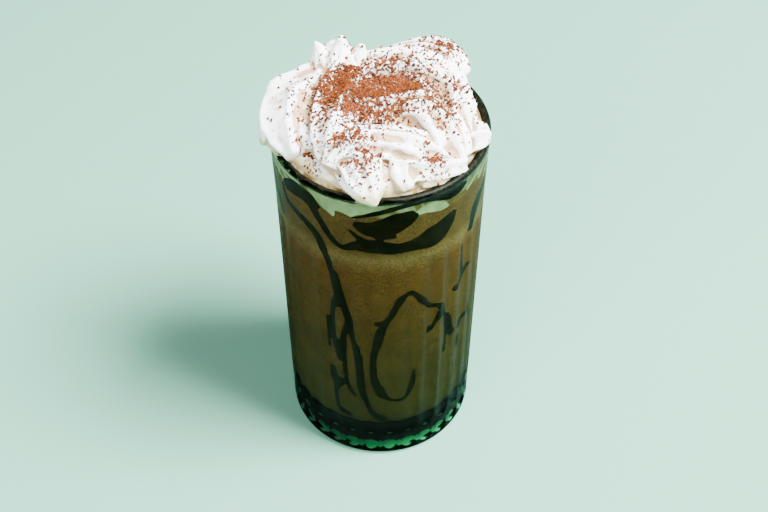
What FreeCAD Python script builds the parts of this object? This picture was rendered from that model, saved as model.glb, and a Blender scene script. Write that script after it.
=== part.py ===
"""A milkshake in a fluted tumbler, topped with a piped mound of whipped cream.

Three pieces, each its own solid, all in millimetres with +Z up and the origin at the middle of
the glass's foot: the pressed glass tumbler, the drink that fills it, and the whipped cream that
stands on the drink, fills the last of the glass and leans over its rim.
"""
import FreeCAD, Part
import Sketcher
import math
import os
from FreeCAD import Placement, Rotation, Vector

doc = FreeCAD.newDocument("milkshake")

# ---------------------------------------------------------------- driving dimensions
# Radii are of the outside of the glass unless the name says inner. Heights are above the table.
SIZES = {
    "rim_radius": 39.0,
    "glass_height": 150.5,
    "shoulder_radius": 38.3,
    "shoulder_height": 124.0,
    "waist_radius": 37.5,
    "waist_height": 20.0,
    "foot_radius": 37.3,
    "rim_inner_radius": 36.2,
    "floor_inner_radius": 33.2,
    "floor_height": 17.0,
    "punt_radius": 27.0,
    "punt_depth": 2.5,
    "rim_round": 1.2,
    "foot_round": 2.5,
    "punt_round": 1.5,
    "floor_round": 7.0,
    "flute_count": 30.0,
    "flute_cutter_radius": 8.0,
    "flute_depth": 0.8,
    "flute_bottom": 17.5,
    "flute_top": 117.0,
    "flute_lean": 0.38,
    "dimple_height": 7.5,
    "dimple_half_tall": 4.2,
    "dimple_half_wide": 3.1,
    "dimple_half_deep": 1.2,
    "drink_level": 141.0,
    "cream_wall_gap": 0.35,
    "cream_rim_gap": 0.5,
    "cream_heart_height": 147.0,
    "cream_core_radius": 33.0,
    "cream_core_tall": 24.0,
    "ridge_depth": 0.09,
    "ridges_round_rope": 5.0,
}
WALL_SLOPE = ((SIZES["rim_inner_radius"] - SIZES["floor_inner_radius"])
              / (SIZES["glass_height"] - SIZES["floor_height"]))
SIZES["drink_top_radius"] = (
    SIZES["floor_inner_radius"] + WALL_SLOPE * (SIZES["drink_level"] - SIZES["floor_height"]))

sheet = doc.addObject("Spreadsheet::Sheet", "sizes")
for row, (name, value) in enumerate(SIZES.items(), start=1):
    sheet.set(f"A{row}", name)
    sheet.set(f"B{row}", str(value))
    sheet.setAlias(f"B{row}", name)
doc.recompute()


def size(name):
    """A driving dimension, read back from the sheet."""
    return float(sheet.get(name))


def origin_plane(body, role):
    return next(item for item in body.Origin.OriginFeatures if item.Role == role)


def new_sketch(body, name, plane_role):
    sketch = body.newObject("Sketcher::SketchObject", name)
    sketch.AttachmentSupport = [(origin_plane(body, plane_role), "")]
    sketch.MapMode = "FlatFace"
    return sketch


def closed_profile(sketch, corners):
    """A closed outline of straight lines. A corner is two cell formulas, or None on an axis."""
    values = [tuple(0.0 if part is None else sheet_value(part) for part in corner)
              for corner in corners]
    count = len(values)
    for index in range(count):
        here = Vector(*values[index], 0)
        there = Vector(*values[(index + 1) % count], 0)
        sketch.addGeometry(Part.LineSegment(here, there), False)
    for index in range(count):
        sketch.addConstraint(Sketcher.Constraint("Coincident", index, 2, (index + 1) % count, 1))
    for index, (across, upward) in enumerate(corners):
        if across is None:
            sketch.addConstraint(Sketcher.Constraint("PointOnObject", index, 1, -2))
        else:
            bind(sketch, Sketcher.Constraint("DistanceX", -1, 1, index, 1, values[index][0]), across)
        if upward is None:
            sketch.addConstraint(Sketcher.Constraint("PointOnObject", index, 1, -1))
        else:
            bind(sketch, Sketcher.Constraint("DistanceY", -1, 1, index, 1, values[index][1]), upward)


def bind(sketch, constraint, formula):
    place = sketch.addConstraint(constraint)
    sketch.setExpression(f"Constraints[{place}]", formula)


def sheet_value(formula):
    """The number that a cell formula such as sizes.rim_radius - sizes.rim_round stands for."""
    total = 0.0
    sign = 1.0
    for word in formula.split():
        if word in "+-":
            sign = 1.0 if word == "+" else -1.0
        else:
            total += sign * size(word.removeprefix("sizes."))
    return total


EDGE_MATCH = 0.01


def edges_at(shape, radius, height):
    """Names of the round edges of that radius at that height."""
    names = []
    for number, edge in enumerate(shape.Edges, start=1):
        if not isinstance(edge.Curve, Part.Circle):
            continue
        close = abs(edge.Curve.Radius - radius) < EDGE_MATCH
        if close and abs(edge.Curve.Center.z - height) < EDGE_MATCH:
            names.append(f"Edge{number}")
    return names


def round_edges(body, base, name, radius_cell, places):
    doc.recompute()
    fillet = body.newObject("PartDesign::Fillet", name)
    names = [edge for radius, height in places for edge in edges_at(base.Shape, radius, height)]
    fillet.Base = (base, names)
    fillet.setExpression("Radius", radius_cell)
    doc.recompute()
    return fillet


# ---------------------------------------------------------------- the glass
# A pressed tumbler: a thick floor over a shallow punt, a wall that thins towards the rounded rim,
# thirty upright flutes below a smooth band, and a ring of oval dimples round the heavy foot.
def make_glass_blank():
    """The turned tumbler, before its flutes and dimples are cut."""
    body = doc.addObject("PartDesign::Body", "GlassBlank")
    body.Label = "glass_blank"
    outline = new_sketch(body, "GlassOutline", "XZ_Plane")
    closed_profile(outline, [
        (None, "sizes.punt_depth"),
        ("sizes.punt_radius", "sizes.punt_depth"),
        ("sizes.punt_radius + sizes.punt_depth", None),
        ("sizes.foot_radius", None),
        ("sizes.waist_radius", "sizes.waist_height"),
        ("sizes.shoulder_radius", "sizes.shoulder_height"),
        ("sizes.rim_radius", "sizes.glass_height"),
        ("sizes.rim_inner_radius", "sizes.glass_height"),
        ("sizes.floor_inner_radius", "sizes.floor_height"),
        (None, "sizes.floor_height"),
    ])
    turned = body.newObject("PartDesign::Revolution", "TurnedGlass")
    turned.Profile = outline
    turned.ReferenceAxis = (outline, ["V_Axis"])
    turned.Angle = 360
    rim = round_edges(body, turned, "RimRound", "sizes.rim_round", [
        (size("rim_radius"), size("glass_height")),
        (size("rim_inner_radius"), size("glass_height"))])
    foot = round_edges(body, rim, "FootRound", "sizes.foot_round", [(size("foot_radius"), 0.0)])
    stand = round_edges(body, foot, "StandRound", "sizes.punt_round", [
        (size("punt_radius") + size("punt_depth"), 0.0)])
    round_edges(body, stand, "FloorRound", "sizes.floor_round", [
        (size("floor_inner_radius"), size("floor_height"))])
    return body


def flute_cutter():
    """A round-ended upright cutter that leans with the wall, in place for the first flute."""
    radius = size("flute_cutter_radius")
    tall = size("flute_top") - size("flute_bottom")
    reach = radius * math.sqrt(0.5)
    low_end = Part.Arc(Vector(0, 0, -radius), Vector(reach, 0, -reach), Vector(radius, 0, 0))
    high_end = Part.Arc(
        Vector(radius, 0, tall), Vector(reach, 0, tall + reach), Vector(0, 0, tall + radius))
    outline = Part.Wire([
        low_end.toShape(),
        Part.LineSegment(Vector(radius, 0, 0), Vector(radius, 0, tall)).toShape(),
        high_end.toShape(),
        Part.LineSegment(Vector(0, 0, tall + radius), Vector(0, 0, -radius)).toShape()])
    cutter = Part.Face(outline).revolve(Vector(0, 0, 0), Vector(0, 0, 1), 360)
    across = size("waist_radius") + radius - size("flute_depth")
    lean = Placement(
        Vector(across, 0, size("flute_bottom")), Rotation(Vector(0, 1, 0), size("flute_lean")))
    cutter.Placement = lean * Placement(Vector(), Rotation(Vector(0, 0, 1), 90))
    return cutter


def dimple_cutter():
    """An upright oval half sunk in the side of the foot."""
    oval = Part.makeSphere(1.0)
    stretch = FreeCAD.Matrix()
    stretch.scale(size("dimple_half_deep"), size("dimple_half_wide"), size("dimple_half_tall"))
    oval = oval.transformGeometry(stretch)
    oval.translate(Vector(size("foot_radius"), 0, size("dimple_height")))
    return oval


def cutter_ring(name, cutter, first, step):
    """Copies of a cutter round the axis, every step places from the first, as one object."""
    count = round(size("flute_count"))
    ring = doc.addObject("Part::Feature", name)
    copies = []
    for place in range(first, count, step):
        copy = cutter.copy()
        copy.rotate(Vector(0, 0, 0), Vector(0, 0, 1), 360 * place / count)
        copies.append(copy)
    ring.Shape = Part.makeCompound(copies)
    return ring


LEAST_CUT = 1.0


def cut_away(name, base, tool):
    cut = doc.addObject("Part::Cut", name)
    cut.Base = base
    cut.Tool = tool
    doc.recompute()
    if cut.Shape.Volume > base.Shape.Volume - LEAST_CUT:
        raise RuntimeError(f"{name} cuts nothing")
    return cut


def make_glass():
    blank = make_glass_blank()
    flute = flute_cutter()
    # Neighbouring flute cutters overlap, so each ring takes every other flute.
    even = cut_away("EvenFlutes", blank, cutter_ring("EvenCutters", flute, 0, 2))
    odd = cut_away("OddFlutes", even, cutter_ring("OddCutters", flute, 1, 2))
    whole = cut_away("Glass", odd, cutter_ring("DimpleCutters", dimple_cutter(), 0, 1))
    whole.Label = "glass"
    return whole


# ---------------------------------------------------------------- the drink
# One solid of milkshake from the rounded floor of the glass up to its level.
def make_drink():
    body = doc.addObject("PartDesign::Body", "Milkshake")
    body.Label = "milkshake"
    outline = new_sketch(body, "DrinkOutline", "XZ_Plane")
    closed_profile(outline, [
        (None, "sizes.floor_height"),
        ("sizes.floor_inner_radius", "sizes.floor_height"),
        ("sizes.drink_top_radius", "sizes.drink_level"),
        (None, "sizes.drink_level"),
    ])
    drink = body.newObject("PartDesign::Revolution", "Drink")
    drink.Profile = outline
    drink.ReferenceAxis = (outline, ["V_Axis"])
    drink.Angle = 360
    round_edges(body, drink, "DrinkFloorRound", "sizes.floor_round", [
        (size("floor_inner_radius"), size("floor_height"))])
    return body


# ---------------------------------------------------------------- the whipped cream
# Ropes piped with a star nozzle, each a row of points (x, y, z, thickness) along its middle.
ROPES = {
    "left_fold": [(-18, 15, 164, 9), (-26, 7, 160, 11.5), (-29, -4, 156, 11), (-28, -16, 152, 7)],
    "top_lap": [(-22, 15, 166, 6), (-13, 14, 167, 8), (-6, 15, 169, 5)],
    "peak": [(-13, 12, 168, 8), (-13, 13, 172, 5), (-13, 14, 175, 2.4), (-13, 14, 178, 1)],
    "left_tip": [(-19, 13, 167, 6), (-21, 14, 171, 3.5), (-23, 14, 175, 1)],
    "right_tip": [(-7, 12, 168, 6), (-5, 13, 172, 3.5), (-4.5, 13, 175, 1.4)],
    "front_fold": [(-10, 6, 166, 9), (-15, -4, 163, 9.5), (-16, -16, 160, 9), (-17, -25, 155, 5)],
    "inner_fold": [(-16, 8, 160, 10), (-21, -8, 156, 10), (-22, -21, 152, 6)],
    "swoosh": [(-15, -26, 157, 5.5), (-4, -23, 158, 8), (10, -22, 157, 8.5), (22, -22, 153, 6)],
    "arch": [(8, -10, 162, 7), (15, -10, 160, 10), (23, -15, 155, 9.5), (26, -20, 152, 6)],
    "low_lobe": [(-1, 14, 165, 8), (12, 10, 164, 10.5), (22, 4, 160, 11), (26, -8, 154, 9)],
    "high_lobe": [(1, 18, 166, 6), (12, 18, 167, 8.5), (22, 15, 167, 8.5), (28, 10, 163, 5)],
    "tongue": [(-8, -24, 157, 7), (-6, -31, 154, 6), (-3, -36, 152.5, 3), (-1.5, -38.5, 152, 1.4)],
    "curl": [(7, -24, 155, 6), (8, -29, 154, 5.5), (9.5, -33, 153, 3)],
    "lip": [(15, -30, 152, 4), (19, -28, 152, 5), (24, -25, 152, 5)],
    "right_bulge": [(31, -10, 153, 6), (35, -9, 153.5, 5)],
    "back_fold": [(-22, 20, 155, 9), (-8, 27, 155, 8), (8, 27, 155, 8), (20, 22, 154, 8)],
}
AROUND = 96
UPWARD = 34
BEADS_BETWEEN = 5
LEVEL_EDGE = 1e-6


def beads(rope):
    """Round beads set close together along a rope, to the next point and past it."""
    row = []
    for start, end in zip(rope[:-1], rope[1:]):
        for step in range(BEADS_BETWEEN):
            share = step / BEADS_BETWEEN
            row.append([a + (b - a) * share for a, b in zip(start, end)])
    row.append(list(rope[-1]))
    return row


def bead_reach(heart, way, bead, along):
    """How far from the heart the ray leaves the bead, ridged round the rope; 0 if it misses."""
    centre = Vector(*bead[:3]) - heart
    ahead = centre.dot(way)
    missed = centre.Length ** 2 - ahead ** 2
    radius = bead[3]
    if missed >= radius ** 2:
        return 0.0
    hit = way * (ahead + math.sqrt(radius ** 2 - missed)) - centre
    side = along.cross(Vector(0, 0, 1))
    turn = math.atan2(hit.dot(side), hit.dot(side.cross(along)))
    radius *= 1.0 + size("ridge_depth") * math.cos(size("ridges_round_rope") * turn)
    if missed >= radius ** 2:
        return ahead
    return ahead + math.sqrt(radius ** 2 - missed)


def cream_reach(heart, way, ropes):
    """The cream's surface along one ray: the core mound, or the rope that stands out most."""
    flat = math.hypot(way.x, way.y) / size("cream_core_radius")
    steep = way.z / size("cream_core_tall")
    reach = 1.0 / math.hypot(flat, steep)
    for row in ropes:
        for place, bead in enumerate(row):
            neighbour = row[place - 1] if place else row[1]
            along = (Vector(*bead[:3]) - Vector(*neighbour[:3])).normalize()
            reach = max(reach, bead_reach(heart, way, bead, along))
    return reach


def inner_radius(height):
    return size("floor_inner_radius") + WALL_SLOPE * (height - size("floor_height"))


def ring_points(radius, height):
    turns = [2 * math.pi * step / AROUND for step in range(AROUND)]
    return [Vector(radius * math.cos(turn), radius * math.sin(turn), height) for turn in turns]


def make_cream():
    """A smooth closed skin: up inside the glass, out over the rim, then over all the ropes."""
    heart = Vector(0, 0, size("cream_heart_height"))
    ropes = [beads(rope) for rope in ROPES.values()]
    gap = size("cream_wall_gap")
    level = size("drink_level")
    top = size("glass_height")
    rows = [ring_points(inner_radius(height) - gap, height)
            for height in (level, (level + top) / 2, top - gap, top + gap)]
    lowest = math.atan2(top + size("cream_rim_gap") - heart.z, size("rim_inner_radius"))
    for step in range(UPWARD):
        lift = lowest + (math.pi / 2 - lowest) * step / UPWARD
        row = []
        for point in range(AROUND):
            turn = 2 * math.pi * point / AROUND
            way = Vector(math.cos(lift) * math.cos(turn), math.cos(lift) * math.sin(turn),
                         math.sin(lift))
            spot = heart + way * cream_reach(heart, way, ropes)
            spot.z = max(spot.z, top + size("cream_rim_gap"))
            row.append(spot)
        rows.append(row)
    crown = heart + Vector(0, 0, cream_reach(heart, Vector(0, 0, 1), ropes))
    rows.append([crown] * AROUND)
    return skin_solid(rows)


def skin_solid(rows):
    """A solid from closed rings of surface poles, shut by a flat disc below the first ring."""
    skin = Part.BSplineSurface()
    across_knots = list(range(AROUND + 1))
    inner_knots = len(rows) - 3
    up_knots = list(range(inner_knots + 1))
    poles = [[row[place] for row in rows] for place in range(AROUND)]
    skin.buildFromPolesMultsKnots(
        poles,
        [1] * (AROUND + 1),
        [4] + [1] * (inner_knots - 1) + [4],
        across_knots,
        up_knots,
        True,
        False,
        3,
        3,
    )
    side = skin.toShape()
    lowest = [edge for edge in side.Edges
              if not edge.Degenerated and edge.BoundBox.ZLength < LEVEL_EDGE]
    floor = Part.Face(Part.Wire(lowest[0]))
    shell = Part.makeShell([side, floor])
    shell.sewShape()
    solid = Part.makeSolid(Part.Shell(shell.Faces))
    if solid.Volume < 0:
        solid.reverse()
    return solid


glass = make_glass()
drink = make_drink()
cream = doc.addObject("Part::Feature", "WhippedCream")
cream.Label = "whipped_cream"
cream.Shape = make_cream()
doc.recompute()

# ---------------------------------------------------------------- checks and files
for item in doc.Objects:
    if "Invalid" in item.State or "Error" in item.State:
        raise RuntimeError(f"{item.Name} failed: {item.State}")

os.makedirs("parts", exist_ok=True)
for piece in (glass, drink, cream):
    shape = piece.Shape
    if shape.isNull() or not shape.isValid():
        raise RuntimeError(f"{piece.Label} is not a sound shape")
    print(piece.Label, round(shape.Volume / 1000, 1), "ml", shape.BoundBox)
    shape.exportStep(f"parts/{piece.Label}.step")
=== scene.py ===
import bpy
import bmesh
import math
import random
import numpy as np
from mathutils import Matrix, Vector
from mathutils.bvhtree import BVHTree


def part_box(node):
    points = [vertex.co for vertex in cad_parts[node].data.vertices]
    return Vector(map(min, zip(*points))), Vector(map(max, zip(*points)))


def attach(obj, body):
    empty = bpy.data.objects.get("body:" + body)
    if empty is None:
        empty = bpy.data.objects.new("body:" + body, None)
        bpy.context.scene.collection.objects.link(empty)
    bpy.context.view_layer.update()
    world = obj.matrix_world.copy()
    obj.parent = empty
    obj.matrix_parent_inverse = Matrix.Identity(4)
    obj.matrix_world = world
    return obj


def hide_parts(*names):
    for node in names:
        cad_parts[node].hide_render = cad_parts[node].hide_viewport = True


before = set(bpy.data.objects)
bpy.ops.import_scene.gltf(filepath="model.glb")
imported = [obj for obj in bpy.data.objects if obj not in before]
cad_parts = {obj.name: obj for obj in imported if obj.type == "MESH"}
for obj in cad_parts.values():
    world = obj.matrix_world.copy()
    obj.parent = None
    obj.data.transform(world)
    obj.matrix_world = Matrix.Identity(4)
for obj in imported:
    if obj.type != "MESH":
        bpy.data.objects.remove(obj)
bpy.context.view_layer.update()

# ======================================================================= the tumbler
# A pressed highball tumbler of clear glass with a faint green cast. It is pressed in one mould,
# with upright flutes in the wall and oval dimples round the heavy foot, then fire polished,
# which rounds the rim and softens every edge.
GLASS_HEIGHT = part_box("glass")[1].z
RIM_RADIUS = 0.0390
RIM_INNER_RADIUS = 0.0362
SHOULDER_RADIUS = 0.0383
SHOULDER_HEIGHT = 0.124
WAIST_RADIUS = 0.0375
WAIST_HEIGHT = 0.020
FOOT_RADIUS = 0.0373
FOOT_ROUND = 0.0025
DIMPLED_BAND_TOP = 0.013
FLUTED_WALL_TOP = 0.1155
RIM_ROUND_HEIGHT = 0.0012
FLOOR_RADIUS = 0.0332
FLOOR_HEIGHT = 0.017
FLOOR_ROUND = 0.007
FLOOR_MIDDLE = 0.010
INSIDE_TOP = 0.148
INSIDE_LOW = 0.026
PUNT_RADIUS = 0.027
PUNT_DEPTH = 0.0025
PUNT_MIDDLE = 0.012
FLUTES = 30
FLUTE_CUTTER = 0.008
FLUTE_DEPTH = 0.0008
FLUTE_BOTTOM = 0.0175
FLUTE_TOP = 0.117
DIMPLE_HEIGHT = 0.0075
DIMPLE_TALL = 0.0042
DIMPLE_WIDE = 0.0031
DIMPLE_DEEP = 0.0012
AROUND = FLUTES * 14
OUTER_SKIN = 0.0015
PRESSED_FROM = 0.002
CLEAR_TINT = (0.93, 0.985, 0.955, 1)
CLEAR_ROUGHNESS = 0.015
CLEAR_IOR = 1.45


def deselect_all():
    if bpy.context.object and bpy.context.object.mode != "OBJECT":
        bpy.ops.object.mode_set(mode="OBJECT")
    bpy.ops.object.select_all(action="DESELECT")


def name_piece(name):
    piece = bpy.context.object
    piece.name = name
    piece.data.name = name
    return piece


def apply_place(piece):
    deselect_all()
    piece.select_set(True)
    bpy.context.view_layer.objects.active = piece
    bpy.ops.object.transform_apply(location=True, rotation=True, scale=True)


def apply_modifier(piece, kind, **settings):
    bpy.context.view_layer.objects.active = piece
    modifier = piece.modifiers.new(kind.title(), kind)
    for key, value in settings.items():
        setattr(modifier, key, value)
    bpy.ops.object.modifier_apply(modifier=modifier.name)


def arc(middle_radius, middle_height, radius, start, end, steps):
    """Points of a rounded corner of an outline, from one angle in degrees to another."""
    corner = []
    for step in range(steps + 1):
        angle = math.radians(start + (end - start) * step / steps)
        corner.append((middle_radius + radius * math.cos(angle),
                       middle_height + radius * math.sin(angle)))
    return corner


def straight(start, end, steps):
    """Points of a straight run of an outline, leaving out its first."""
    return [(start[0] + (end[0] - start[0]) * step / steps,
             start[1] + (end[1] - start[1]) * step / steps) for step in range(1, steps + 1)]


def turned(name, outline, around):
    """A closed skin turned about the upright axis from an outline of (radius, height)."""
    deselect_all()
    radius, height = outline[0]
    bpy.ops.mesh.primitive_circle_add(
        vertices=around, radius=radius, fill_type="TRIFAN", location=(0, 0, height))
    piece = name_piece(name)
    apply_place(piece)
    bpy.ops.object.mode_set(mode="EDIT")
    bpy.ops.mesh.select_mode(type="EDGE")
    bpy.ops.mesh.select_all(action="DESELECT")
    bpy.ops.mesh.select_non_manifold()
    for next_radius, next_height in outline[1:]:
        bpy.ops.mesh.extrude_edges_move(
            TRANSFORM_OT_translate={"value": (0, 0, next_height - height)})
        share = next_radius / radius
        bpy.ops.transform.resize(value=(share, share, 1), center_override=(0, 0, next_height))
        radius, height = next_radius, next_height
    bpy.ops.mesh.merge(type="CENTER")
    bpy.ops.mesh.select_all(action="SELECT")
    bpy.ops.mesh.normals_make_consistent(inside=False)
    bpy.ops.object.mode_set(mode="OBJECT")
    bpy.ops.object.shade_smooth()
    return piece


def wall_radius(height):
    """The inside radius of the glass at a height, above the floor's rounded corner."""
    share = (height - FLOOR_HEIGHT) / (GLASS_HEIGHT - FLOOR_HEIGHT)
    return FLOOR_RADIUS + share * (RIM_INNER_RADIUS - FLOOR_RADIUS)


def floor_outline(proud):
    """The inside of the glass from its middle to the start of the wall, moved into the glass."""
    middle = wall_radius(FLOOR_HEIGHT + FLOOR_ROUND) - FLOOR_ROUND
    corner = arc(middle, FLOOR_HEIGHT + FLOOR_ROUND, FLOOR_ROUND + proud, -90, 0, 12)
    return [(FLOOR_MIDDLE, FLOOR_HEIGHT - proud), (2 * FLOOR_MIDDLE, FLOOR_HEIGHT - proud)] + corner


def flute_sink(turn, height):
    """How deep the flutes are at a place on the wall, as a share of their full depth."""
    pitch = 2 * math.pi / FLUTES
    across = ((turn + pitch / 2) % pitch - pitch / 2) * WAIST_RADIUS
    past = max(FLUTE_BOTTOM - height, height - FLUTE_TOP, 0.0)
    room = FLUTE_CUTTER ** 2 - across ** 2 - past ** 2
    if room <= 0:
        return 0.0
    sink = math.sqrt(room) - (FLUTE_CUTTER - FLUTE_DEPTH) - across ** 2 / (2 * WAIST_RADIUS)
    return max(sink / FLUTE_DEPTH, 0.0)


def dimple_sink(turn, height):
    """How deep the foot's dimples are at a place, as a share of their full depth."""
    pitch = 2 * math.pi / FLUTES
    across = ((turn + pitch / 2) % pitch - pitch / 2) * FOOT_RADIUS
    room = 1 - (across / DIMPLE_WIDE) ** 2 - ((height - DIMPLE_HEIGHT) / DIMPLE_TALL) ** 2
    return math.sqrt(room) if room > 0 else 0.0


def press(piece, name, depth, share_of):
    """Press a pattern into the outer wall, as deep as share_of(turn, height) says."""
    group = piece.vertex_groups.new(name=name)
    for vertex in piece.data.vertices:
        x, y, z = vertex.co
        within = math.hypot(x, y) < wall_radius(z) + OUTER_SKIN
        if within or z > SHOULDER_HEIGHT or z < PRESSED_FROM:
            continue
        share = share_of(math.atan2(y, x), z)
        if share > 0:
            group.add([vertex.index], share, "REPLACE")
    apply_modifier(piece, "DISPLACE", vertex_group=name, strength=-depth, mid_level=0.0)
    piece.vertex_groups.remove(piece.vertex_groups[name])


outside = [(PUNT_MIDDLE, PUNT_DEPTH), (PUNT_RADIUS - 0.001, PUNT_DEPTH),
           (PUNT_RADIUS, PUNT_DEPTH - 0.0002), (PUNT_RADIUS + 0.0022, 0.0003),
           (PUNT_RADIUS + 0.0033, 0.0)]
outside += arc(FOOT_RADIUS - FOOT_ROUND, FOOT_ROUND, FOOT_ROUND, -90, 0, 6)
outside += straight(outside[-1], (FOOT_RADIUS + 0.00005, DIMPLED_BAND_TOP), 22)
outside += straight(outside[-1], (WAIST_RADIUS, WAIST_HEIGHT), 12)
outside += straight(outside[-1], (SHOULDER_RADIUS - 0.00006, FLUTED_WALL_TOP), 10)
outside += straight(outside[-1], (SHOULDER_RADIUS, SHOULDER_HEIGHT), 14)
outside += straight(outside[-1], (RIM_RADIUS - 0.0001, GLASS_HEIGHT - RIM_ROUND_HEIGHT), 8)
middle_of_rim = (RIM_RADIUS + RIM_INNER_RADIUS) / 2
half_rim = (RIM_RADIUS - RIM_INNER_RADIUS) / 2
outside += arc(middle_of_rim, GLASS_HEIGHT - half_rim, half_rim, 10, 170, 10)
inside = straight((wall_radius(INSIDE_TOP), INSIDE_TOP), (wall_radius(INSIDE_LOW), INSIDE_LOW), 14)
inside += reversed(floor_outline(0.0))
glass = turned("tumbler", outside + inside, AROUND)
press(glass, "flutes", FLUTE_DEPTH, flute_sink)
press(glass, "dimples", DIMPLE_DEEP, dimple_sink)


def mottle_group():
    """A mask, and two colours blended by it, spread by noise in the piece's own frame."""
    group = bpy.data.node_groups.new("mottle", "ShaderNodeTree")
    for socket, kind in (("Scale", "Float"), ("Detail", "Float"), ("Distortion", "Float"),
                         ("Low", "Float"), ("High", "Float"), ("Dark", "Color"), ("Light", "Color")):
        group.interface.new_socket(socket, in_out="INPUT", socket_type="NodeSocket" + kind)
    group.interface.new_socket("Mask", in_out="OUTPUT", socket_type="NodeSocketFloat")
    group.interface.new_socket("Color", in_out="OUTPUT", socket_type="NodeSocketColor")
    given = group.nodes.new("NodeGroupInput")
    place = group.nodes.new("ShaderNodeTexCoord")
    noise = group.nodes.new("ShaderNodeTexNoise")
    spread = group.nodes.new("ShaderNodeMapRange")
    blend = group.nodes.new("ShaderNodeMix")
    blend.data_type = "RGBA"
    result = group.nodes.new("NodeGroupOutput")
    group.links.new(place.outputs["Object"], noise.inputs["Vector"])
    for socket in ("Scale", "Detail", "Distortion"):
        group.links.new(given.outputs[socket], noise.inputs[socket])
    group.links.new(noise.outputs["Fac"], spread.inputs["Value"])
    group.links.new(given.outputs["Low"], spread.inputs["From Min"])
    group.links.new(given.outputs["High"], spread.inputs["From Max"])
    group.links.new(spread.outputs["Result"], blend.inputs["Factor"])
    group.links.new(given.outputs["Dark"], blend.inputs["A"])
    group.links.new(given.outputs["Light"], blend.inputs["B"])
    group.links.new(spread.outputs["Result"], result.inputs["Mask"])
    group.links.new(blend.outputs["Result"], result.inputs["Color"])


def mottle(tree, scale, detail, low=0.0, high=1.0, dark=(0, 0, 0), light=(1, 1, 1), distortion=0.0):
    """The mottle group placed in a material, with this material's own values."""
    node = tree.nodes.new("ShaderNodeGroup")
    node.node_tree = bpy.data.node_groups["mottle"]
    node.inputs["Scale"].default_value = scale
    node.inputs["Detail"].default_value = detail
    node.inputs["Distortion"].default_value = distortion
    node.inputs["Low"].default_value = low
    node.inputs["High"].default_value = high
    node.inputs["Dark"].default_value = (*dark, 1)
    node.inputs["Light"].default_value = (*light, 1)
    return node


def new_finish(name):
    """A new material, its node tree and its shader."""
    finish = bpy.data.materials.new(name)
    finish.use_nodes = True
    return finish, finish.node_tree, finish.node_tree.nodes["Principled BSDF"]


mottle_group()
clear_glass, tree, shader = new_finish("clear_glass")
shader.inputs["Base Color"].default_value = CLEAR_TINT
shader.inputs["Roughness"].default_value = CLEAR_ROUGHNESS
shader.inputs["IOR"].default_value = CLEAR_IOR
shader.inputs["Transmission Weight"].default_value = 1.0
shader.inputs["Specular Tint"].default_value = (0.02, 0.03, 0.025, 1)
ripple = mottle(tree, 90.0, 2.0)
bump = tree.nodes.new("ShaderNodeBump")
bump.inputs["Strength"].default_value = 0.12
bump.inputs["Distance"].default_value = 0.0006
tree.links.new(ripple.outputs["Mask"], bump.inputs["Height"])
tree.links.new(bump.outputs["Normal"], shader.inputs["Normal"])
bent = tree.nodes.new("ShaderNodeBsdfRefraction")
bent.inputs["Color"].default_value = CLEAR_TINT
bent.inputs["Roughness"].default_value = CLEAR_ROUGHNESS
bent.inputs["IOR"].default_value = CLEAR_IOR
tree.links.new(bump.outputs["Normal"], bent.inputs["Normal"])
faint_mirror = tree.nodes.new("ShaderNodeMixShader")
faint_mirror.inputs["Fac"].default_value = 0.85
tree.links.new(shader.outputs["BSDF"], faint_mirror.inputs[1])
tree.links.new(bent.outputs["BSDF"], faint_mirror.inputs[2])
light_path = tree.nodes.new("ShaderNodeLightPath")
let_through = tree.nodes.new("ShaderNodeBsdfTransparent")
let_through.inputs["Color"].default_value = (0.50, 0.58, 0.52, 1)
pick = tree.nodes.new("ShaderNodeMixShader")
tree.links.new(light_path.outputs["Is Shadow Ray"], pick.inputs["Fac"])
tree.links.new(faint_mirror.outputs["Shader"], pick.inputs[1])
tree.links.new(let_through.outputs["BSDF"], pick.inputs[2])
tree.links.new(pick.outputs["Shader"], tree.nodes["Material Output"].inputs["Surface"])
tint = tree.nodes.new("ShaderNodeVolumeAbsorption")
tint.inputs["Color"].default_value = (0.15, 0.60, 0.42, 1)
tint.inputs["Density"].default_value = 165.0
tree.links.new(tint.outputs["Volume"], tree.nodes["Material Output"].inputs["Volume"])
glass.data.materials.append(clear_glass)
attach(glass, "root")
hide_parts("glass")

# ======================================================================= the milkshake
# Cold chocolate milkshake, poured into the tumbler to just under its rim. It wets the wall all
# round, so its skin lies a hair inside the glass, and it is full of fine froth.
DRINK_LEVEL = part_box("milkshake")[1].z
WETS = 0.00015
DRINK_SEGMENTS = 180
shake_outline = floor_outline(WETS)
shake_outline += straight(shake_outline[-1], (wall_radius(DRINK_LEVEL) + WETS, DRINK_LEVEL), 40)
shake_outline += [(0.034, DRINK_LEVEL + 0.0002), (0.025, DRINK_LEVEL + 0.0004)]
shake = turned("shake", shake_outline, DRINK_SEGMENTS)

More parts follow.
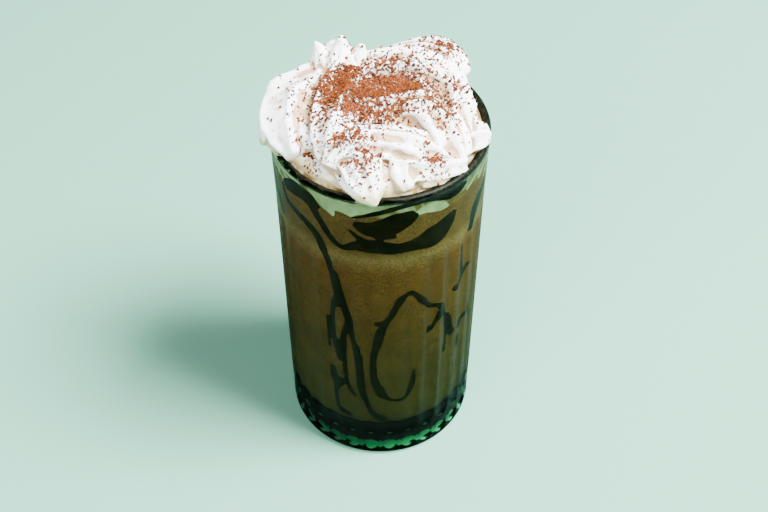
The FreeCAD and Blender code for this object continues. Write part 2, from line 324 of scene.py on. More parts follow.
shake_skin, tree, shader = new_finish("frothy_shake")
shader.inputs["Specular IOR Level"].default_value = 0.0
place = tree.nodes.new("ShaderNodeTexCoord")
height = tree.nodes.new("ShaderNodeSeparateXYZ")
tree.links.new(place.outputs["Object"], height.inputs["Vector"])
rise = tree.nodes.new("ShaderNodeMapRange")
rise.inputs["From Min"].default_value = FLOOR_HEIGHT
rise.inputs["From Max"].default_value = DRINK_LEVEL
tree.links.new(height.outputs["Z"], rise.inputs["Value"])
# The shake's colour by height: darker towards the bottom, with a painted highlight band at the height
# of the flute tops
height_tone_and_painted_band = tree.nodes.new("ShaderNodeValToRGB")
height_tone_and_painted_band.color_ramp.elements[0].color = (0.040, 0.0190, 0.0052, 1)
height_tone_and_painted_band.color_ramp.elements[1].color = (0.100, 0.038, 0.0120, 1)
for spot, colour in ((0.10, (0.047, 0.0225, 0.0058, 1)), (0.55, (0.073, 0.0255, 0.0058, 1)),
                     (0.76, (0.090, 0.0285, 0.0066, 1)), (0.82, (0.150, 0.064, 0.022, 1)),
                     (0.86, (0.094, 0.034, 0.0095, 1))):
    height_tone_and_painted_band.color_ramp.elements.new(spot).color = colour
tree.links.new(rise.outputs["Result"], height_tone_and_painted_band.inputs["Fac"])
froth = mottle(tree, 1600.0, 2.0, 0.3, 0.7, (0.60, 0.60, 0.60), (1.45, 1.45, 1.45))
swirls = mottle(tree, 70.0, 4.0, 0.3, 0.7, (0.82, 0.82, 0.82), (1.18, 1.18, 1.18), distortion=1.5)
shades = tree.nodes.new("ShaderNodeVectorMath")
shades.operation = "MULTIPLY"
tree.links.new(froth.outputs["Color"], shades.inputs[0])
tree.links.new(swirls.outputs["Color"], shades.inputs[1])
mottled = tree.nodes.new("ShaderNodeVectorMath")
mottled.operation = "MULTIPLY"
tree.links.new(height_tone_and_painted_band.outputs["Color"], mottled.inputs[0])
tree.links.new(shades.outputs["Vector"], mottled.inputs[1])
tree.links.new(mottled.outputs["Vector"], shader.inputs["Base Color"])
shake.data.materials.append(shake_skin)
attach(shake, "root")
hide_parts("milkshake")

# ======================================================================= the whipped cream
# Stiff whipped cream piped through star nozzles in short ropes, laid over one another from the
# shake up. The ropes sink together where they touch, and keep their ridges where they don't.
SHARP_NOZZLE = (8, 0.24)
WORN_NOZZLE = (6, 0.22)
CREAM_GRAIN = 0.00053
CORE_RADIUS = 0.0345
CORE_RISE = 0.0095
CORE_HEIGHT = 0.150
CREASE_PASSES = 110
DEEPEST_CREASE = 0.00042


def star_nozzle(points, cut):
    """A nozzle's opening, one unit from its middle to its points, as a closed curve."""
    deselect_all()
    bpy.ops.mesh.primitive_circle_add(vertices=points * 8, radius=1.0)
    nozzle = name_piece("nozzle")
    for vertex in nozzle.data.vertices:
        turn = math.atan2(vertex.co.y, vertex.co.x)
        vertex.co *= 1 - cut * abs(math.sin(turn * points / 2)) ** 0.8
    bpy.ops.object.convert(target="CURVE")
    return bpy.context.object


def pipe_rope(nozzle, points):
    """One rope of cream through (x, y, z, thickness, twist) points, in mm and degrees."""
    deselect_all()
    bpy.ops.curve.primitive_nurbs_path_add()
    rope = bpy.context.object
    rope.data.splines.clear()
    path = rope.data.splines.new("NURBS")
    path.points.add(len(points) - 1)
    for knot, (x, y, z, thick, twist) in zip(path.points, points):
        knot.co = (x / 1000, y / 1000, z / 1000, 1)
        knot.radius = thick / 1000
        knot.tilt = math.radians(twist)
    path.order_u = 4 if len(points) > 3 else 3
    path.use_endpoint_u = True
    path.resolution_u = 14
    rope.data.dimensions = "3D"
    rope.data.twist_mode = "MINIMUM"
    rope.data.bevel_mode = "OBJECT"
    rope.data.bevel_object = nozzle
    rope.data.use_fill_caps = True
    bpy.ops.object.convert(target="MESH")
    return bpy.context.object


SOFT_ROPES = [
    # left fold, over the rim from the back to the front
    [(-17, 14, 163, 6.5, 0), (-23, 8, 159, 10.5, 10), (-29, 3, 157.5, 12, 15), (-31, -3, 156, 12.5, 20),
     (-30, -10, 154.5, 11.5, 25), (-29, -15, 153, 8.5, 30), (-28, -19, 152, 4, 40)],
    # bulge under it, over the left rim
    [(-31, 3, 157, 7, 0), (-35.5, -1, 156, 8, 0), (-37, -6, 154, 7.5, 0), (-35.5, -11, 152.5, 6, 0)],
    # fold between that and the front
    [(-16, 8, 160, 10, 0), (-20, 0, 158, 10, 0), (-21, -8, 156.5, 10, 5), (-21, -15, 155, 9, 10),
     (-21.5, -18, 153.5, 5, 15)],
    # fold that comes down from the top to the left front
    [(-10, 6, 166, 9, 0), (-14, 0, 164, 9.5, 0), (-16, -8, 162, 9.5, 10), (-16, -16, 160, 9, 20),
     (-17, -21, 157.5, 6.5, 30), (-17, -24, 155.5, 4, 40)],
    # cream under the heap of chocolate
    [(-6, 10, 163, 8, 0), (2, 11, 165, 9, 0), (10, 10, 166.5, 9, 0), (18, 8, 165.5, 9.5, 0),
     (24, 4, 162, 8, 0)],
    [(-10, -2, 160, 9, 0), (-2, -4, 161, 9, 0), (6, -2, 161.5, 9, 0), (14, 0, 161, 9, 0)],
    # cream in the hollow between the swoosh and the arch
    [(0, -13, 157.5, 6, 0), (8, -14, 157.5, 6.5, 0), (15, -15, 156.5, 6.5, 0), (21, -17, 154, 5, 0)],
    # bulge over the right rim
    [(28, -11, 151.5, 6, 0), (32, -10.5, 153, 7, 0), (35.5, -9.5, 153, 6.2, 0),
     (37.6, -9.2, 152.7, 4.2, 0), (38.8, -9, 152.4, 1.6, 0)],
    # lower ridge between the swoosh and the lip
    [(4, -25, 154.5, 5, 0), (10, -26.5, 154.5, 6.5, 0), (16, -27, 154, 7, 0), (22, -25, 153, 6.5, 0),
     (26, -22, 152, 4, 0)],
    # curl beside the tongue
    [(6.5, -25, 155, 4, 0), (7.5, -29, 154.5, 5.5, 15), (8.5, -32.5, 153, 4.6, 30),
     (9.5, -35, 151.2, 2.4, 30)],
    # lip on the rim
    [(14, -33, 151.2, 1, 0), (17, -31.5, 151.4, 3, 10), (21, -29.2, 151.2, 3.2, 20),
     (25, -26, 151, 1.4, 30)],
    # back, down to the rim
    [(-27, 13, 154, 5, 0), (-21, 21, 155, 7, 5), (-9, 26, 154, 7, 15), (6, 27, 153.5, 7.5, 25),
     (17, 24, 155, 8, 35), (25, 17, 154, 5, 45)],
]
SHARP_ROPES = [
    # top of the last lap, then the peak where the nozzle was pulled away and its two side tips
    [(-21, 15, 165, 4.5, 0), (-18, 15, 166, 7, 0), (-13, 14, 167, 8, 10), (-9, 14, 167, 6, 20),
     (-7, 14, 168, 3.5, 20)],
    [(-13, 12, 168, 7, 0), (-13, 13, 172, 5, 0), (-13, 14, 175, 2.2, 0), (-13, 14, 178, 0.4, 0)],
    [(-19, 13, 166, 6.5, 0), (-20.5, 14, 169.5, 4, 0), (-21.8, 14, 173, 2, 0),
     (-22.4, 14, 175.5, 0.6, 0)],
    [(-8, 12, 167, 5.5, 0), (-7, 13, 171, 2.8, 0), (-6.4, 13, 175, 1.2, 0)],
    # swoosh across the front
    [(-17, -28, 156, 3.5, 0), (-15, -25, 159, 5, 0), (-10, -23, 161, 6, 10), (-4, -22, 160.5, 7, 20),
     (3, -21, 160, 7, 30), (9, -21, 158.5, 7, 40), (15, -21, 156.5, 7, 50), (22, -21, 153, 6, 60)],
    # arch on the right front
    [(6, -8, 161, 4, 0), (10, -7, 162, 7, 0), (15, -8, 160.5, 9, 0), (20, -12, 157, 10.5, 10),
     (24, -16, 154, 9.5, 20), (27, -20, 151, 6, 30)],
    # back lobes, the lower one first
    [(0, 13, 162.5, 7, 0), (7, 12, 164, 9.5, 0), (16, 8, 163, 11, 0), (22, 4, 160, 11, 10),
     (24, -2, 157, 10.5, 20), (26, -8, 153, 9, 30), (28, -14, 151, 7, 40)],
    [(2, 18, 164, 5, 0), (8, 18, 164.5, 7.5, 0), (15, 17, 166, 8, 0), (22, 15, 166.5, 8.5, 10),
     (26.5, 12, 165, 7, 20), (29, 10, 163, 4, 30)],
    # tongue over the front rim
    [(-11, -23, 156, 6, 0), (-10, -29, 154, 6, 0), (-7, -34, 152, 4.5, 0), (-3, -38, 150.5, 2.2, 0),
     (-1.5, -40, 149.5, 0.5, 0)],
    [(-4, -23, 158, 7, 0), (-4, -29, 155.5, 6.5, 0), (-2.5, -34, 152.5, 4.5, 0),
     (-1.6, -38, 150.5, 2.2, 0), (-1.2, -40, 149.5, 0.5, 0)],
    # right front, under the arch
    [(19, -26, 153, 6, 0), (23, -24, 152, 6, 0), (27, -20, 151, 5.5, 0)],
]

ropes = []
for nozzle_kind, rows in ((WORN_NOZZLE, SOFT_ROPES), (SHARP_NOZZLE, SHARP_ROPES)):
    nozzle = star_nozzle(*nozzle_kind)
    ropes += [pipe_rope(nozzle, points) for points in rows]
    bpy.data.objects.remove(nozzle)
deselect_all()
bpy.ops.mesh.primitive_uv_sphere_add(
    segments=64, ring_count=32, radius=1, location=(0, 0, CORE_HEIGHT))
core = bpy.context.object
core.scale = (CORE_RADIUS, CORE_RADIUS, CORE_RISE)
apply_place(core)
for rope in ropes:
    rope.select_set(True)
core.select_set(True)
bpy.context.view_layer.objects.active = core
bpy.ops.object.join()
cream = name_piece("whipped_cream_mound")
apply_modifier(cream, "REMESH", mode="VOXEL", voxel_size=CREAM_GRAIN)
apply_modifier(cream, "SMOOTH", factor=0.5, iterations=3)
# broad slumps in the ropes, then fine tears in their skin
for name, size, strength in (("slumps", 0.013, 0.0030), ("tears", 0.0050, 0.00035)):
    lumps = bpy.data.textures.new(name, "CLOUDS")
    lumps.noise_scale = size
    apply_modifier(cream, "DISPLACE", texture=lumps, strength=strength, mid_level=0.5,
                   texture_coords="LOCAL")
deselect_all()
cream.select_set(True)
bpy.context.view_layer.objects.active = cream
bpy.ops.object.shade_smooth()


def mark_creases(piece, passes, full):
    """Writes how deep each place lies in a crease, 0 to 1 at full, against a smoothed copy."""
    count = len(piece.data.vertices)
    soft = piece.copy()
    soft.data = piece.data.copy()
    bpy.context.collection.objects.link(soft)
    apply_modifier(soft, "SMOOTH", factor=0.5, iterations=passes)
    places = []
    for mesh in (piece.data, soft.data):
        flat = np.empty(count * 3)
        mesh.vertices.foreach_get("co", flat)
        places.append(flat.reshape(count, 3))
    normals = np.empty(count * 3)
    piece.data.vertex_normals.foreach_get("vector", normals)
    depth = ((places[1] - places[0]) * normals.reshape(count, 3)).sum(axis=1) / full
    mark = piece.data.attributes.new("crease", "FLOAT", "POINT")
    mark.data.foreach_set("value", np.clip(depth, 0, 1))
    bpy.data.objects.remove(soft)


mark_creases(cream, CREASE_PASSES, DEEPEST_CREASE)

cream_skin, tree, shader = new_finish("whipped_cream")
shader.inputs["Roughness"].default_value = 0.5
shader.inputs["Subsurface Weight"].default_value = 0.15
shader.inputs["Subsurface Radius"].default_value = (1.0, 0.85, 0.7)
shader.inputs["Subsurface Scale"].default_value = 0.003
# Painted shade: the crease depth darkens the cream to a warm beige in its creases and valleys, where
# shade falls
crease = tree.nodes.new("ShaderNodeAttribute")
crease.attribute_name = "crease"
painted_crease_shade = tree.nodes.new("ShaderNodeValToRGB")
painted_crease_shade.color_ramp.elements[0].position = 0.05
painted_crease_shade.color_ramp.elements[0].color = (0.92, 0.93, 0.93, 1)
painted_crease_shade.color_ramp.elements[1].position = 0.62
painted_crease_shade.color_ramp.elements[1].color = (0.41, 0.27, 0.15, 1)
tree.links.new(crease.outputs["Fac"], painted_crease_shade.inputs["Fac"])
place = tree.nodes.new("ShaderNodeTexCoord")
height = tree.nodes.new("ShaderNodeSeparateXYZ")
soak = mottle(tree, 120.0, 3.0)
uneven = tree.nodes.new("ShaderNodeMath")
uneven.operation = "MULTIPLY_ADD"
uneven.inputs[1].default_value = 0.010
low = tree.nodes.new("ShaderNodeMapRange")
low.inputs["From Min"].default_value = GLASS_HEIGHT + 0.0085
low.inputs["From Max"].default_value = GLASS_HEIGHT + 0.0060
soaked = tree.nodes.new("ShaderNodeMix")
soaked.data_type = "RGBA"
soaked.inputs["B"].default_value = (0.46, 0.40, 0.22, 1)
tree.links.new(place.outputs["Object"], height.inputs["Vector"])
tree.links.new(soak.outputs["Mask"], uneven.inputs[0])
tree.links.new(height.outputs["Z"], uneven.inputs[2])
tree.links.new(uneven.outputs["Value"], low.inputs["Value"])
tree.links.new(low.outputs["Result"], soaked.inputs["Factor"])
tree.links.new(painted_crease_shade.outputs["Color"], soaked.inputs["A"])
tree.links.new(soaked.outputs["Result"], shader.inputs["Base Color"])
bubbles = mottle(tree, 900.0, 3.0)
bump = tree.nodes.new("ShaderNodeBump")
bump.inputs["Strength"].default_value = 0.18
bump.inputs["Distance"].default_value = 0.0003
tree.links.new(bubbles.outputs["Mask"], bump.inputs["Height"])
tree.links.new(bump.outputs["Normal"], shader.inputs["Normal"])
cream.data.materials.append(cream_skin)
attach(cream, "root")
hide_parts("whipped_cream")

# ======================================================================= the soaked cream
# The foot of the cream, between the shake and the rim. It has drunk up shake, fills the glass to
# the wall as that does, and is marbled brown and beige.
SOAKED_SHOULDER = 0.1488
soaked_outline = [(0.012, DRINK_LEVEL), (0.025, DRINK_LEVEL)]
soaked_outline += straight(soaked_outline[-1], (wall_radius(DRINK_LEVEL) + WETS, DRINK_LEVEL), 2)
soaked_outline += straight(
    soaked_outline[-1], (wall_radius(SOAKED_SHOULDER) + WETS, SOAKED_SHOULDER), 8)
soaked_outline += [(0.0355, 0.1497), (0.0345, 0.1501), (0.030, 0.1503), (0.020, 0.1504)]
soaked = turned("soaked_cream", soaked_outline, DRINK_SEGMENTS)
marbled, tree, shader = new_finish("marbled_cream")
shader.inputs["Specular IOR Level"].default_value = 0.0
veins = mottle(tree, 95.0, 5.0, 0.48, 0.72, (0.147, 0.090, 0.028), (0.40, 0.335, 0.20), distortion=2.0)
tree.links.new(veins.outputs["Color"], shader.inputs["Base Color"])
soaked.data.materials.append(marbled)
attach(soaked, "root")

# ======================================================================= smears inside the glass
# Cream and chocolate syrup that were squeezed and poured down the inside of the glass before it
# was filled. Both cling to the wall in front of the shake, and the syrup lies over the cream.
WRAP_RADIUS = 0.035
CREAM_REACH = 0.00025
SYRUP_REACH = 0.00040
SUNK_SIDE = 0.02


def smear(name, strokes, reach, flat, grain, ragged):
    """Strokes of (azimuth, height, width) points, in degrees and mm, spread on the inner wall.

    They reach that far into the wall, and bulge inwards by flat times their half width."""
    parts = []
    for points in strokes:
        deselect_all()
        bpy.ops.curve.primitive_nurbs_path_add()
        stroke = bpy.context.object
        stroke.data.splines.clear()
        path = stroke.data.splines.new("NURBS")
        path.points.add(len(points) - 1)
        for knot, (azimuth, height, width) in zip(path.points, points):
            knot.co = (math.radians(azimuth) * WRAP_RADIUS, 0, height / 1000, 1)
            knot.radius = width / 2000
        path.order_u = min(3, len(points))
        path.use_endpoint_u = True
        path.resolution_u = 8
        stroke.data.dimensions = "3D"
        stroke.data.bevel_depth = 1.0
        stroke.data.bevel_resolution = 3
        stroke.data.use_fill_caps = True
        bpy.ops.object.convert(target="MESH")
        parts.append(bpy.context.object)
    deselect_all()
    for part in parts:
        part.select_set(True)
    bpy.context.view_layer.objects.active = parts[0]
    bpy.ops.object.join()
    piece = name_piece(name)
    apply_place(piece)
    apply_modifier(piece, "REMESH", mode="VOXEL", voxel_size=grain)
    edge = bpy.data.textures.new(name + "_edge", "CLOUDS")
    edge.noise_scale = 0.003
    apply_modifier(piece, "DISPLACE", texture=edge, strength=ragged, mid_level=0.5,
                   texture_coords="LOCAL")
    apply_modifier(piece, "SMOOTH", factor=0.5, iterations=2)
    for vertex in piece.data.vertices:
        along, depth, height = vertex.co
        turn = along / WRAP_RADIUS
        radius = wall_radius(height) + reach + depth * (flat if depth < 0 else SUNK_SIDE)
        vertex.co = (radius * math.sin(turn), -radius * math.cos(turn), height)
    deselect_all()
    piece.select_set(True)
    bpy.context.view_layer.objects.active = piece
    bpy.ops.object.mode_set(mode="EDIT")
    bpy.ops.mesh.select_all(action="SELECT")
    bpy.ops.mesh.normals_make_consistent(inside=False)
    bpy.ops.object.mode_set(mode="OBJECT")
    bpy.ops.object.shade_smooth()
    return piece


CREAM_SMEARS = [
    # the band under the rim, and the two lobes that hang from it
    [(-40, 148, 2.5), (-32, 146, 7), (-22, 146, 8.5), (-13, 145.5, 8.5), (-5, 146.5, 6.5),
     (4, 148, 5), (12, 148.8, 3), (24, 149, 2), (38, 148.5, 2.5)],
    [(-34, 146, 5), (-30, 143.5, 6), (-26, 140.5, 3), (-25, 138.5, 0.8)],
    [(-21, 146, 5), (-17, 143.5, 4.5), (-14.5, 141, 2), (-13, 139.5, 0.8)],
    # the lump on the right
    [(19, 141, 2), (24, 142.5, 4.5), (30, 142, 5.5), (35, 140.5, 4), (39, 139, 1.5)],
    # streaks on the left and on the right
    [(-82, 148, 3), (-70, 148.5, 3), (-58, 148, 3.4), (-46, 147.5, 3)],
    [(-76, 149, 2), (-66, 147, 2.2), (-54, 143.5, 1)],
    [(-72, 145, 1.2), (-62, 142, 1.8), (-56, 138, 0.8)],
    [(-62, 149, 2), (-52, 147, 1.6), (-44, 146, 0.8)],
    [(-80, 143, 1.5), (-76, 138, 2), (-74, 132, 0.8)],
    [(38, 148.5, 2), (50, 148, 3), (62, 147.5, 4), (74, 147.5, 4), (86, 148, 3)],
    [(44, 143, 1.4), (51, 145.5, 2.4), (58, 148, 3)],
    [(52, 140.5, 1.2), (60, 144, 2.6), (66, 147, 3)],
    [(64, 140, 1.6), (71, 144, 2.6), (76, 147, 3)],
    [(72, 136, 1.6), (77, 140, 2.4), (82, 146, 2)],
]
# the band goes on round the back, with a drop from every other point
chance = random.Random(7)
band = [(86 + step * 9, 147.5 + chance.uniform(-1, 1), chance.uniform(2, 5)) for step in range(22)]
CREAM_SMEARS.append(band)
for azimuth, height, width in band[1:-1:2]:
    drop = chance.uniform(2, 6)
    CREAM_SMEARS.append([(azimuth, height, width + 2), (azimuth + 2, height - drop / 2, width),
                         (azimuth + 3, height - drop, width / 2)])
cream_smears = smear(
    "cream_smears", CREAM_SMEARS, CREAM_REACH, flat=0.15, grain=0.00045, ragged=0.0009)
thin_cream, tree, shader = new_finish("thinned_cream")
shader.inputs["Specular IOR Level"].default_value = 0.0
milky = mottle(tree, 220.0, 4.0, 0.35, 0.7, (0.25, 0.215, 0.105), (0.43, 0.39, 0.23))
tree.links.new(milky.outputs["Color"], shader.inputs["Base Color"])
cream_smears.data.materials.append(thin_cream)
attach(cream_smears, "root")

SYRUP = [
    # the patch on the left, its long strand, and what branches off that
    [(-60, 139.5, 4), (-52, 142.5, 8), (-46, 143.5, 7.5), (-40, 142, 7), (-35, 139, 5)],
    [(-60, 132, 2.5), (-48, 131, 3.8), (-38, 127, 4.0), (-34, 123, 3.6), (-31, 116, 3.4),
     (-27, 108, 3.4), (-25, 99.5, 3.6), (-22, 91, 3.4), (-19, 84.5, 4), (-17, 75, 2.8),
     (-14, 66, 2.5), (-13, 54, 2.2), (-12, 42, 2.3), (-10, 34.5, 2.4), (-7, 28.5, 3),
     (-2, 24.5, 4), (3, 22, 2.2)],
    [(-62, 139, 2), (-62, 135, 2.4), (-58, 131.5, 2)],
    [(-26, 95, 2.6), (-28, 90, 2.8), (-29, 80.5, 2.8), (-29, 72.5, 3), (-27, 66, 3.4),
     (-24, 58, 2.2)],
    [(-20, 83, 2.2), (-23, 76, 2.4), (-23, 64, 2.4), (-23, 49, 2.2), (-21, 41.5, 2.4),
     (-18, 38.5, 3), (-15, 37, 2)],
    [(-31, 52, 3.4), (-30, 46.5, 6), (-28, 42, 4.8), (-29, 37, 2.4), (-28, 31, 3), (-28, 25, 2.4),
     (-20, 22.5, 2)],
    [(-33, 82.5, 1.6), (-33, 64, 1.8)],
    # the band from the patch to the dark crescent on the right
    [(-40, 141, 4), (-34, 134.5, 3.2), (-29, 128.5, 2.8), (-24, 124.5, 2.4), (-19, 124, 2.6),
     (-14, 126, 4.5), (-8, 127, 7), (0, 126.5, 7), (8, 125, 5.5), (15, 125.5, 5.5), (22, 126, 7.5),
     (28, 126.5, 11), (34, 128.5, 10.5), (40, 132, 6.5), (44, 135, 2)],
    [(-17, 134, 1), (-13, 131.5, 2), (-9, 129, 3)],
    # the upper lens shape and its tail to the right
    [(-14, 137.5, 2.5), (-9, 136, 6), (-3, 135, 8), (4, 136.5, 9.5), (10, 138.5, 9.5),
     (15, 140, 7.5), (19, 142, 4)],
    [(-15, 140.2, 1.2), (-5, 142.5, 2), (5, 145, 2.6), (15, 147, 3), (25, 147.4, 3.4),
     (33, 146, 4), (40, 145, 6.5), (46, 145, 6), (51, 145.5, 2.5)],
    [(-3, 131.5, 1.5), (4, 131, 3), (9, 131.5, 1.5)],
    # the loop low on the right
    [(-3, 84, 2.4), (1, 83.5, 3), (5, 86, 3.2), (8, 90, 3), (11, 95.5, 2.8), (14, 99, 2.8),
     (17, 100, 2.8), (22, 98, 2.6), (26, 92.5, 2.4), (30, 88.5, 2.4), (38, 87, 2.4), (41, 81, 2.2),
     (44, 70, 2.2), (44, 61, 1.6), (43, 55, 2.2)],
    [(3, 84, 2.8), (0, 79.5, 2.8), (-2, 71, 2.8), (-4, 62, 3.4), (-4, 53, 3.6), (-3, 46, 3.8),
     (1, 39, 3.2), (5, 35.5, 2.2), (11, 34.5, 1.8), (16, 36, 2.4), (20, 41, 3.4), (22, 47.5, 2.8),
     (22, 53, 1.4)],
    # runs on the right
    [(39, 84, 2), (38, 80.5, 2.4), (35, 77, 2.8), (32, 73, 2), (30, 78, 1.6), (29, 73, 1.6)],
    [(44, 78.5, 2), (47, 73.5, 3), (48, 68, 3.6), (49, 63, 1.8)],
    [(68, 69, 2), (63, 67.5, 2.6), (57, 67, 3), (56, 62.5, 2.4)],
    [(57, 58, 2), (56, 54.5, 3.4), (56, 51, 1.8)],
    [(53, 112, 1.8), (53, 100.5, 2.2), (56, 94, 4), (52, 91.5, 2.8), (49, 89.5, 3.2)],
    [(56, 94, 2.6), (62, 98, 2.4)],
    [(67, 71, 1.6), (70, 65, 2), (72, 60, 1.4)],
    [(80, 135, 2), (73, 131, 4), (66, 128.5, 7), (62, 123, 5), (60, 116, 2.4)],
    # streaks at the left edge
    [(-80, 141, 2.4), (-76, 134, 3.4), (-71, 128, 3.6), (-66, 121, 2)],
    [(-63, 97, 1), (-64, 92, 1.4), (-65, 86, 0.8)],
    # runs round the back
    [(100, 140, 3), (104, 128, 4), (101, 112, 2.6), (106, 96, 2), (112, 84, 2.4), (108, 66, 1.4)],
    [(126, 138, 4), (138, 134, 7), (152, 136, 5), (160, 130, 3), (157, 112, 2.4), (163, 94, 2.2),
     (170, 78, 1.6), (168, 60, 1)],
    [(-100, 138, 3), (-108, 132, 5), (-106, 118, 3), (-112, 98, 2.4), (-118, 84, 1.8), (-114, 64, 1)],
    [(-150, 140, 4), (-142, 134, 6), (-134, 132, 4), (-130, 118, 2.4), (-136, 102, 2),
     (-132, 88, 1.2)],
]
syrup = smear("syrup_streaks", SYRUP, SYRUP_REACH, flat=0.18, grain=0.0004, ragged=0.0009)
syrup_skin, tree, shader = new_finish("chocolate_syrup")
shader.inputs["Specular IOR Level"].default_value = 0.0
depth = mottle(tree, 260.0, 3.0, 0.4, 0.75, (0.0022, 0.0020, 0.0006), (0.010, 0.0055, 0.0014))
tree.links.new(depth.outputs["Color"], shader.inputs["Base Color"])
syrup.data.materials.append(syrup_skin)
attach(syrup, "root")

# ======================================================================= the film on the rim
# Syrup and cocoa wiped over the rim when the glass was dressed. It lies over the whole round of
# the rim as a thin film, broken where the glass shows through.
FILM = 0.00012
FILM_SKIRT = 0.0020
FILM_EDGE = 0.0033
FILM_FADE = 0.0005
FILM_LEAN = -0.028
FILM_RAGGED = 0.0040
deselect_all()
bpy.ops.mesh.primitive_torus_add(
    major_segments=360, minor_segments=28, major_radius=middle_of_rim,
    minor_radius=half_rim + FILM, location=(0, 0, GLASS_HEIGHT - half_rim))
film = name_piece("rim_film")
apply_place(film)
bpy.ops.object.mode_set(mode="EDIT")
bpy.ops.mesh.select_all(action="SELECT")
bpy.ops.mesh.bisect(plane_co=(0, 0, GLASS_HEIGHT - FILM_SKIRT), plane_no=(0, 0, 1),
                    clear_inner=True, use_fill=True)
bpy.ops.mesh.select_all(action="SELECT")
bpy.ops.mesh.normals_make_consistent(inside=False)
bpy.ops.object.mode_set(mode="OBJECT")
bpy.ops.object.shade_smooth()
film_skin, tree, shader = new_finish("rim_film")
shader.inputs["Roughness"].default_value = 0.45
shader.inputs["Specular IOR Level"].default_value = 0.06
place = tree.nodes.new("ShaderNodeTexCoord")
cocoa = mottle(tree, 900.0, 4.0, 0.45, 0.7, (0.0016, 0.0022, 0.0010), (0.009, 0.011, 0.005))
patches = mottle(tree, 240.0, 3.0)
spot = tree.nodes.new("ShaderNodeSeparateXYZ")
flat = tree.nodes.new("ShaderNodeVectorMath")
flat.operation = "MULTIPLY"
flat.inputs[1].default_value = (1, 1, 0)
from_axis = tree.nodes.new("ShaderNodeVectorMath")
from_axis.operation = "LENGTH"
reach = tree.nodes.new("ShaderNodeMath")
reach.operation = "MULTIPLY_ADD"
reach.inputs[1].default_value = FILM_LEAN
strip = tree.nodes.new("ShaderNodeMath")
strip.operation = "MULTIPLY_ADD"
strip.inputs[1].default_value = FILM_RAGGED
cover = tree.nodes.new("ShaderNodeMapRange")
cover.inputs["From Min"].default_value = middle_of_rim + FILM_EDGE
cover.inputs["From Max"].default_value = middle_of_rim + FILM_EDGE - FILM_FADE
tree.links.new(place.outputs["Object"], spot.inputs["Vector"])
tree.links.new(place.outputs["Object"], flat.inputs[0])
tree.links.new(flat.outputs["Vector"], from_axis.inputs[0])
tree.links.new(spot.outputs["X"], reach.inputs[0])
tree.links.new(from_axis.outputs["Value"], reach.inputs[2])
tree.links.new(patches.outputs["Mask"], strip.inputs[0])
tree.links.new(reach.outputs["Value"], strip.inputs[2])
tree.links.new(strip.outputs["Value"], cover.inputs["Value"])
tree.links.new(cocoa.outputs["Color"], shader.inputs["Base Color"])
tree.links.new(cover.outputs["Result"], shader.inputs["Alpha"])
film.data.materials.append(film_skin)
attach(film, "root")

# ======================================================================= the grated chocolate
# Dark chocolate grated over the cream: a thick heap on the top lap, and shards and dust strewn
# over the rest. Each shard sinks a little way into the cream.
HEAPS = [
    # middle x and y, spread in x and y, shards: mm
    (-6, -2, 7, 4, 2200),
    (2, 2, 6.5, 3.5, 1300),
    (-11, -7, 4.5, 4.5, 1150),
    (-15, -7, 4, 5, 500),
    (-4, -9, 5.5, 3.5, 900),
    (9, -1, 4.0, 3.5, 900),
    (0, -5, 14, 8, 1100),
    (-20, -5, 6, 7, 350),
    (22, 16, 4.5, 3.5, 420),
    (21, -4, 5, 6, 600),
    (18, -12, 4, 5, 180),
    (-10, -24, 4.5, 3, 520),
    (-5, -30, 3.5, 4, 420),
    (18, -28.5, 3.5, 2.2, 260),
    (-22, -21, 5, 4, 250),
    (0, 22, 16, 8, 220),
    (0, 0, 24, 22, 900),
]
SHARD_TONES = (0.0, 0.35, 0.7, 1.0)
SHARD_DUST = 0.00012
SHARD_SPREAD = 0.00056
SHARD_THICKNESS = 0.6
SHARD_LIFT = 0.25
DROP_HEIGHT = 0.3
LOWEST_REST = GLASS_HEIGHT - 0.003


def surface_of(piece):
    """A tree of the piece's faces that rays can be cast at."""
    skin = bmesh.new()
    skin.from_mesh(piece.data)
    tree = BVHTree.FromBMesh(skin)
    skin.free()
    return tree


def strew(name, target, heaps, seed):
    """Small shards of chocolate, dropped straight down on the target and half sunk there."""
    deselect_all()
    bpy.ops.mesh.primitive_cone_add(vertices=5, radius1=1.0, radius2=0.65, depth=1.4)
    shard = bpy.context.object
    corners = [vertex.co.copy() for vertex in shard.data.vertices]
    faces = [tuple(face.vertices) for face in shard.data.polygons]
    bpy.data.objects.remove(shard)
    chance = random.Random(seed)
    places, sides, tones = [], [], []
    for middle_x, middle_y, spread_x, spread_y, count in heaps:
        for _ in range(count):
            x = chance.gauss(middle_x, spread_x) / 1000
            y = chance.gauss(middle_y, spread_y) / 1000
            if math.hypot(x, y) > RIM_RADIUS + 0.001:
                continue
            point, normal = target.ray_cast(Vector((x, y, DROP_HEIGHT)), Vector((0, 0, -1)))[:2]
            if point is None or point.z <= LOWEST_REST:
                continue
            size = SHARD_DUST + SHARD_SPREAD * chance.random() ** 2
            turn = normal.to_track_quat("Z", "Y").to_matrix()
            spin = chance.uniform(0, 2 * math.pi)
            lean = chance.uniform(-0.5, 0.5)
            long = chance.uniform(0.9, 1.5)
            wide = chance.uniform(0.6, 1.1)
            tone = chance.choice(SHARD_TONES) * 0.8 + chance.random() * 0.2
            start = len(places)
            for corner in corners:
                bend = 1 + chance.uniform(-0.55, 0.45)
                along = corner.x * long * bend
                across = corner.y * wide * bend
                up = corner.z * SHARD_THICKNESS * bend + corner.x * lean
                spot = Vector((along * math.cos(spin) - across * math.sin(spin),
                               along * math.sin(spin) + across * math.cos(spin), up + SHARD_LIFT))
                places.append(point + turn @ (spot * size))
                tones.append(tone)
            sides += [tuple(start + index for index in face) for face in faces]
    mesh = bpy.data.meshes.new(name)
    mesh.from_pydata(places, [], sides)
    mark = mesh.attributes.new("tone", "FLOAT", "POINT")
    mark.data.foreach_set("value", tones)
    piece = bpy.data.objects.new(name, mesh)
    bpy.context.collection.objects.link(piece)
    return piece


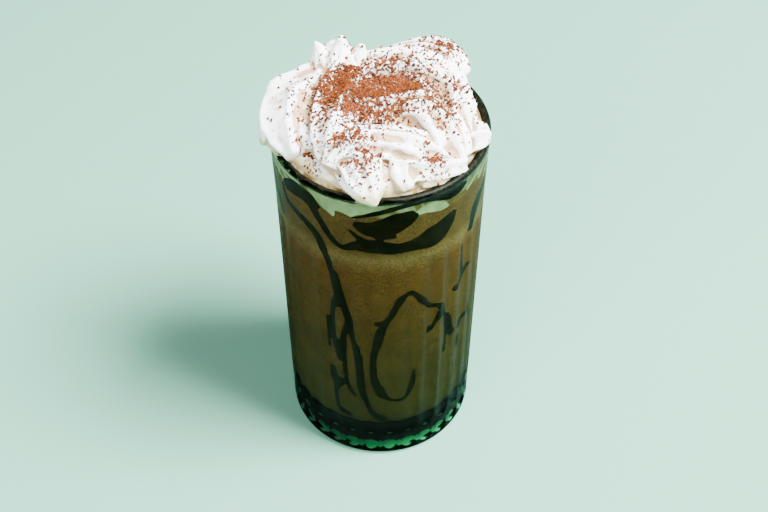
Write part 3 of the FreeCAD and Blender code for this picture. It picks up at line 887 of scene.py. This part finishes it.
chocolate = strew("grated_chocolate", surface_of(cream), HEAPS, seed=11)
grated, tree, shader = new_finish("grated_chocolate")
shader.inputs["Roughness"].default_value = 0.7
shader.inputs["Specular IOR Level"].default_value = 0.15
tone = tree.nodes.new("ShaderNodeAttribute")
tone.attribute_name = "tone"
brown = tree.nodes.new("ShaderNodeValToRGB")
brown.color_ramp.elements[0].color = (0.020, 0.0048, 0.0013, 1)
brown.color_ramp.elements[1].color = (0.165, 0.036, 0.0038, 1)
tree.links.new(tone.outputs["Fac"], brown.inputs["Fac"])
tree.links.new(brown.outputs["Color"], shader.inputs["Base Color"])
chocolate.data.materials.append(grated)
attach(chocolate, "root")

# ======================================================================= floor, light and camera
# A plain sheet of pale mint card, which the glass stands a hair above. One broad lamp lights it
# from high on the right, and a weaker one from the front left.
SHEET_SIZE = 6.0
SHEET_GAP = 0.0002
CAMERA_PLACE = (0.00145, -0.33774, 0.44966)
CAMERA_TILT = 42.54
CAMERA_LENS = 60.0
SENSOR_WIDTH = 36.0
deselect_all()
bpy.ops.mesh.primitive_plane_add(size=SHEET_SIZE, location=(0, 0, -SHEET_GAP))
floor = name_piece("floor")
apply_place(floor)
sheet, tree, shader = new_finish("pale_sheet")
shader.inputs["Roughness"].default_value = 0.9
fibres = mottle(tree, 1800.0, 3.0, 0.3, 0.7, (0.112, 0.304, 0.220), (0.118, 0.316, 0.230))
tree.links.new(fibres.outputs["Color"], shader.inputs["Base Color"])
floor.data.materials.append(sheet)

world = bpy.data.worlds.new("studio")
bpy.context.scene.world = world
world.use_nodes = True
world.node_tree.nodes["Background"].inputs["Color"].default_value = (0.85, 0.95, 0.92, 1)
world.node_tree.nodes["Background"].inputs["Strength"].default_value = 0.25


def lamp(name, place, aim, size, power):
    """A soft square lamp that points from its place to its aim."""
    bpy.ops.object.light_add(type="AREA", location=place)
    light = bpy.context.object
    light.name = name
    light.data.size = size
    light.data.energy = power
    way = Vector(aim) - Vector(place)
    light.rotation_euler = way.to_track_quat("-Z", "Y").to_euler()


lamp("key", place=(0.72, -0.18, 1.26), aim=(0, 0, 0.14), size=0.60, power=184.0)
lamp("fill", place=(-0.8, -1.2, 0.88), aim=(0, 0, 0.12), size=1.0, power=52.0)

bpy.ops.object.camera_add(location=CAMERA_PLACE)
camera = bpy.context.object
camera.rotation_euler = (math.radians(CAMERA_TILT), 0, 0)
camera.data.lens = CAMERA_LENS
camera.data.sensor_width = SENSOR_WIDTH
bpy.context.scene.camera = camera
